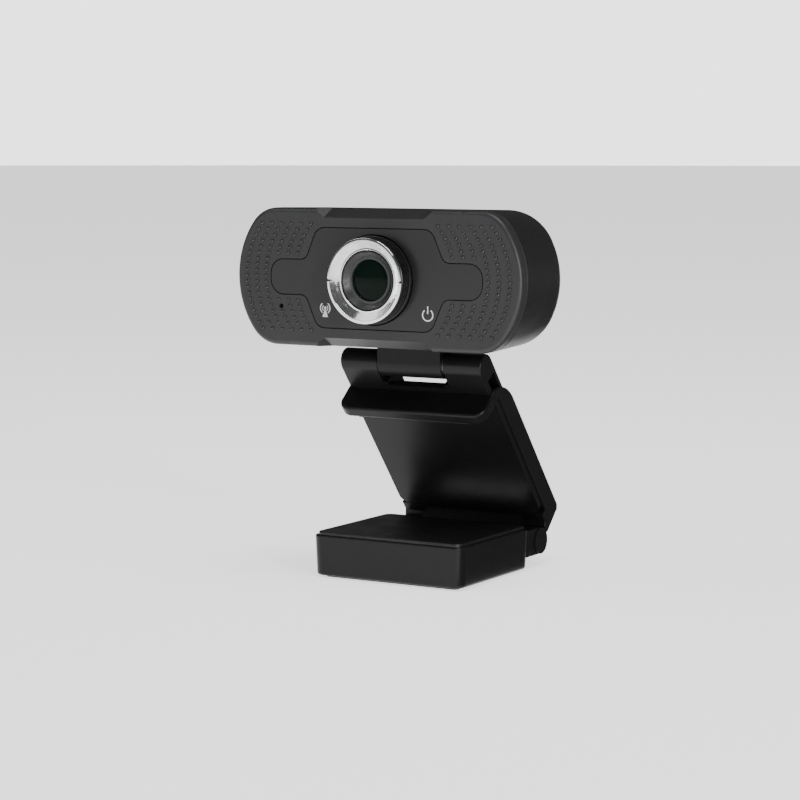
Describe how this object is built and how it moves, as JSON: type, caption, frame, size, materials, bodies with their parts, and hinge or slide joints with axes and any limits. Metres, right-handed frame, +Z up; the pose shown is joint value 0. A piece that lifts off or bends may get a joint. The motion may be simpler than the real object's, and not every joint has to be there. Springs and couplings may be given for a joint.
{
  "type": "webcam on folding stand",
  "caption": "Webcam with a wide rounded head, dished silver focus ring and glossy front plate, on a folding monitor clip with a hook lip, a leaning leg and a flat foot.",
  "frame": {"origin": "centre of the foot's flat underside, at the mouth of the tripod thread", "axes": "-Y the way the lens looks, +X to the right of someone facing the front, +Z up"},
  "size_m": [0.0832, 0.0648, 0.096],
  "materials": {
    "stand_plastic": "satin, fine grain",
    "bezel_plastic": "fine texture with raised dots",
    "gloss_black": "polished",
    "housing_plastic": "satin",
    "pad_rubber": "matte",
    "silver": "turned, satin",
    "cell_black": "dead matte",
    "ring_grey": "satin",
    "lens_glass": "coated",
    "steel": "bright",
    "brass": "machined",
    "board": "solder mask",
    "chip": "ceramic and glass"
  },
  "bodies": {
    "foot": {"foot_shell": "stand_plastic", "foot_top_pad": "pad_rubber", "foot_base_plate": "stand_plastic", "foot_base_sheet": "pad_rubber", "tripod_insert": "brass", "foot_screws": "steel", "foot_pin": "steel", "foot_plug": "stand_plastic", "foot_washers": "steel"},
    "leg": {"leg_shell": "stand_plastic", "hook_panel": "stand_plastic", "lip_strip": "pad_rubber", "tilt_pin": "steel", "tilt_plug": "stand_plastic", "tilt_washers": "steel"},
    "head": {"front_bezel": "bezel_plastic", "face_plate": "gloss_black", "rear_housing": "housing_plastic", "neck_knuckle": "stand_plastic", "neck_screws": "steel", "housing_screws": "steel", "main_board": "board", "board_screws": "steel", "image_sensor": "chip", "lens_holder": "cell_black", "filter_glass": "lens_glass", "mic_boot": "pad_rubber", "mic_capsule": "steel", "cord_gland": "pad_rubber"},
    "focus": {"focus_sleeve": "gloss_black", "dish_ring": "silver"},
    "lens": {"lens_cell": "cell_black", "front_glass": "lens_glass", "glass_ring": "ring_grey", "aperture_stop": "cell_black", "rear_glass": "lens_glass"}
  },
  "joints": [
    {"name": "leg_fold", "type": "hinge", "parent": "foot", "child": "leg", "pos_m": [0, 0.0258, 0.00695], "axis": [1, 0, 0], "range_deg": [-60, 50.4]},
    {"name": "head_tilt", "type": "hinge", "parent": "leg", "child": "head", "pos_m": [0, -0.0033, 0.0557], "axis": [1, 0, 0], "range_deg": [-60, 45]},
    {"name": "focus_turn", "type": "hinge", "parent": "head", "child": "focus", "pos_m": [0, -0.0245, 0.0782], "axis": [0, -1, 0], "range_deg": [-135, 135]},
    {"name": "focus_travel", "type": "slide", "parent": "head", "child": "lens", "axis": [0, -1, 0], "range_m": [-0.0001875, 0.0001875]}
  ],
  "couplings": [
    {"joint": "focus_turn", "follows": "focus_travel", "rad_per_m": 12566}
  ]
}
